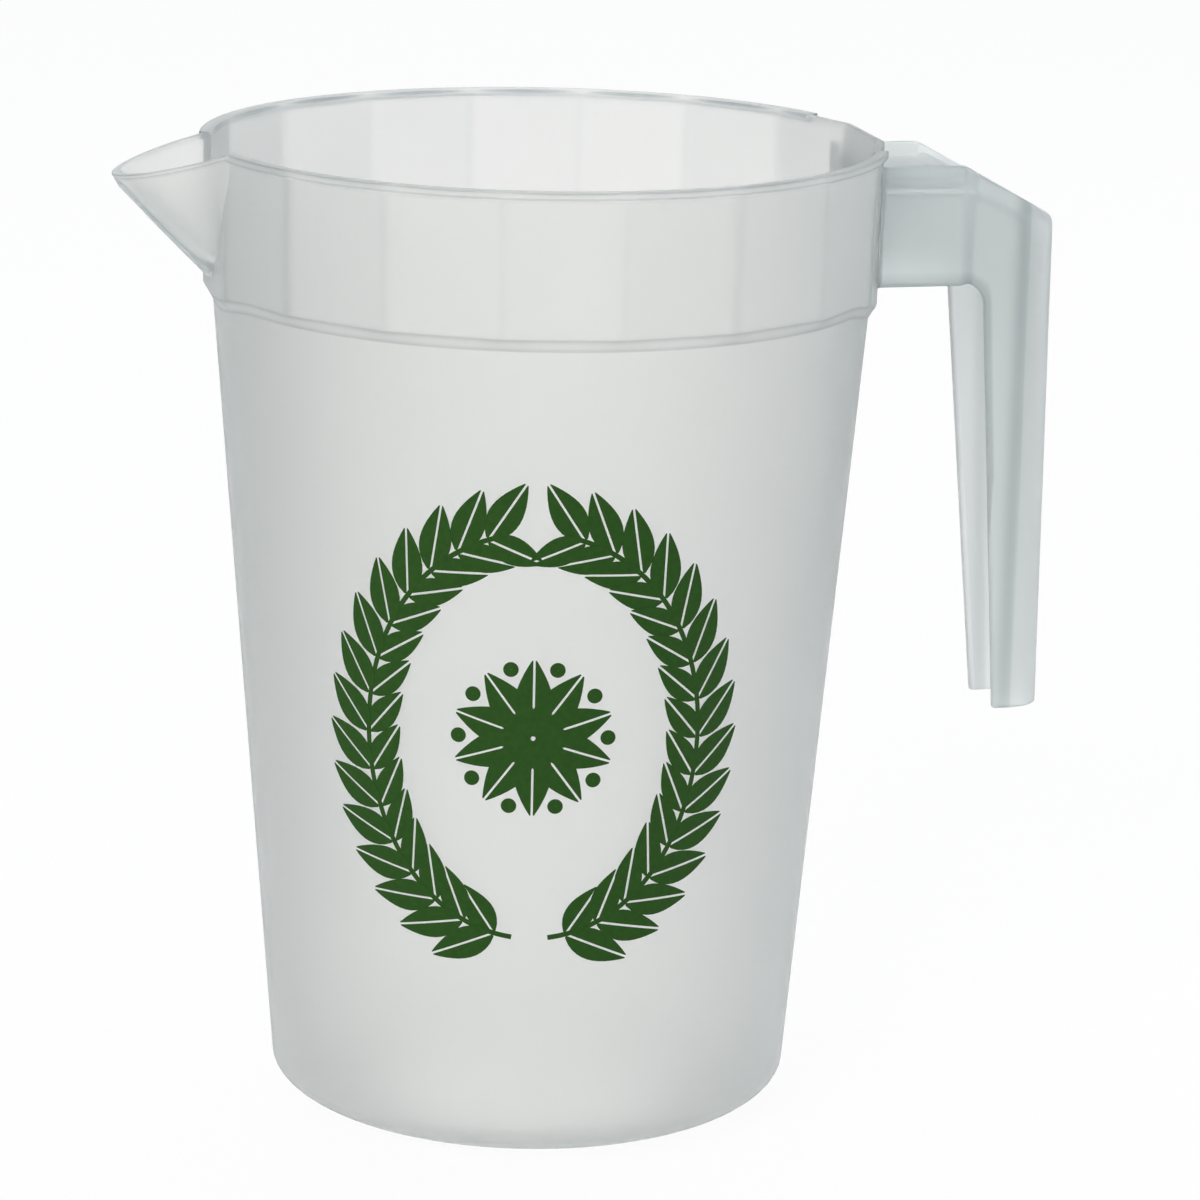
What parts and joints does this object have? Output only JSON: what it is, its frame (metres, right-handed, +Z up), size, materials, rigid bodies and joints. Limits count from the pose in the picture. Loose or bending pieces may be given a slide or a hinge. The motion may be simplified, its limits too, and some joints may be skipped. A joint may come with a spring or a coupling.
{
  "type": "stackable pitcher",
  "caption": "Translucent moulded serving pitcher with a tapered round body, faceted stacking collar, conical spout and open-bottomed channel handle.",
  "frame": {"origin": "centre of the flat base, on the axis of the round body", "axes": "+Z up along the body's axis, +X from the axis towards the handle, spout on -X"},
  "size_m": [0.1925, 0.136, 0.197],
  "materials": {
    "natural_polypropylene": "satin, translucent",
    "green_ink": "flat screen print"
  },
  "bodies": {
    "root": {"base_floor": "natural_polypropylene", "body_wall": "natural_polypropylene", "stacking_step": "natural_polypropylene", "faceted_collar": "natural_polypropylene", "rim_bead_front": "natural_polypropylene", "rim_bead_back": "natural_polypropylene", "pouring_spout": "natural_polypropylene", "handle_bridge": "natural_polypropylene", "handle_grip": "natural_polypropylene"}
  },
  "joints": []
}
